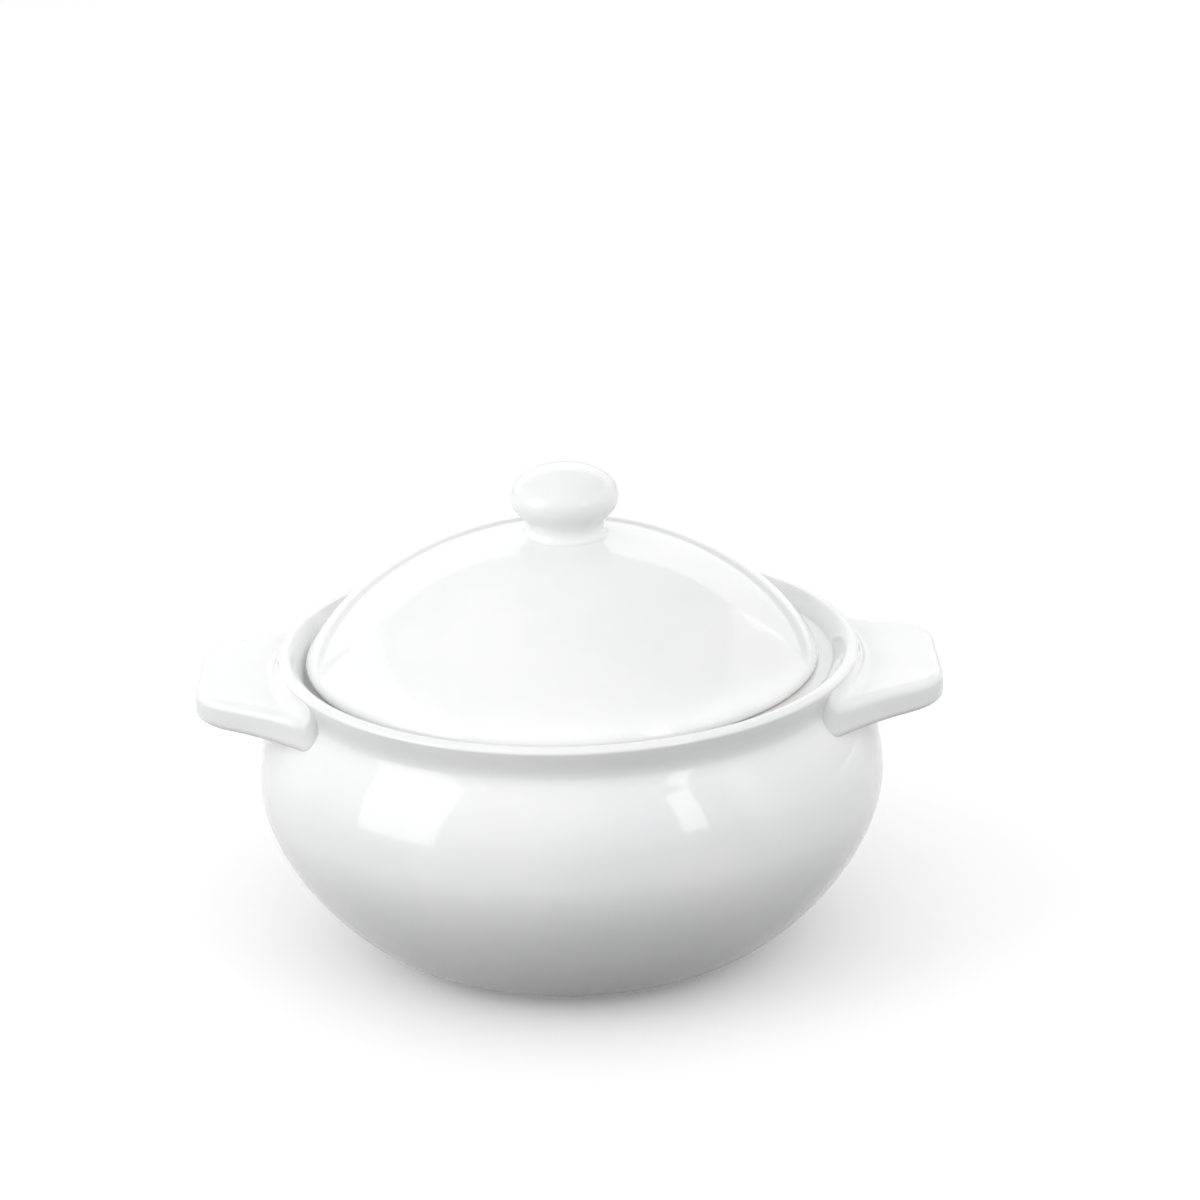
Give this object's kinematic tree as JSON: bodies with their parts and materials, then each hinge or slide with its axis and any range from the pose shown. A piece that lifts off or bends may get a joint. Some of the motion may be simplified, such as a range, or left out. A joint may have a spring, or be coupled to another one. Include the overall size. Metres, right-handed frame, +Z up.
{
  "type": "lidded baking dish",
  "caption": "Round bellied white porcelain baking dish with flat lug handles, a flared rim with a lid seat, and a domed lid with a mushroom knob.",
  "frame": {"origin": "on the table, under the middle of the dish", "axes": "+Z up along the axis of the dish, +X towards the right handle of the picture, so that the handles lie along X and the picture is taken from -Y"},
  "size_m": [0.2228, 0.1884, 0.1494],
  "materials": {
    "porcelain_dish": "clear gloss glaze over white porcelain, bare on the sole of the foot ring",
    "porcelain_lid": "clear gloss glaze over white porcelain, bare on the seat and the flange's end"
  },
  "bodies": {
    "dish": {"dish_body": "porcelain_dish", "handle_left": "porcelain_dish", "handle_right": "porcelain_dish"},
    "lid": {"lid": "porcelain_lid", "lid_knob": "porcelain_lid"}
  },
  "joints": [
    {"name": "lid_lift", "type": "slide", "parent": "dish", "child": "lid", "axis": [0, 0, 1], "range_m": [0, 0.15]}
  ]
}
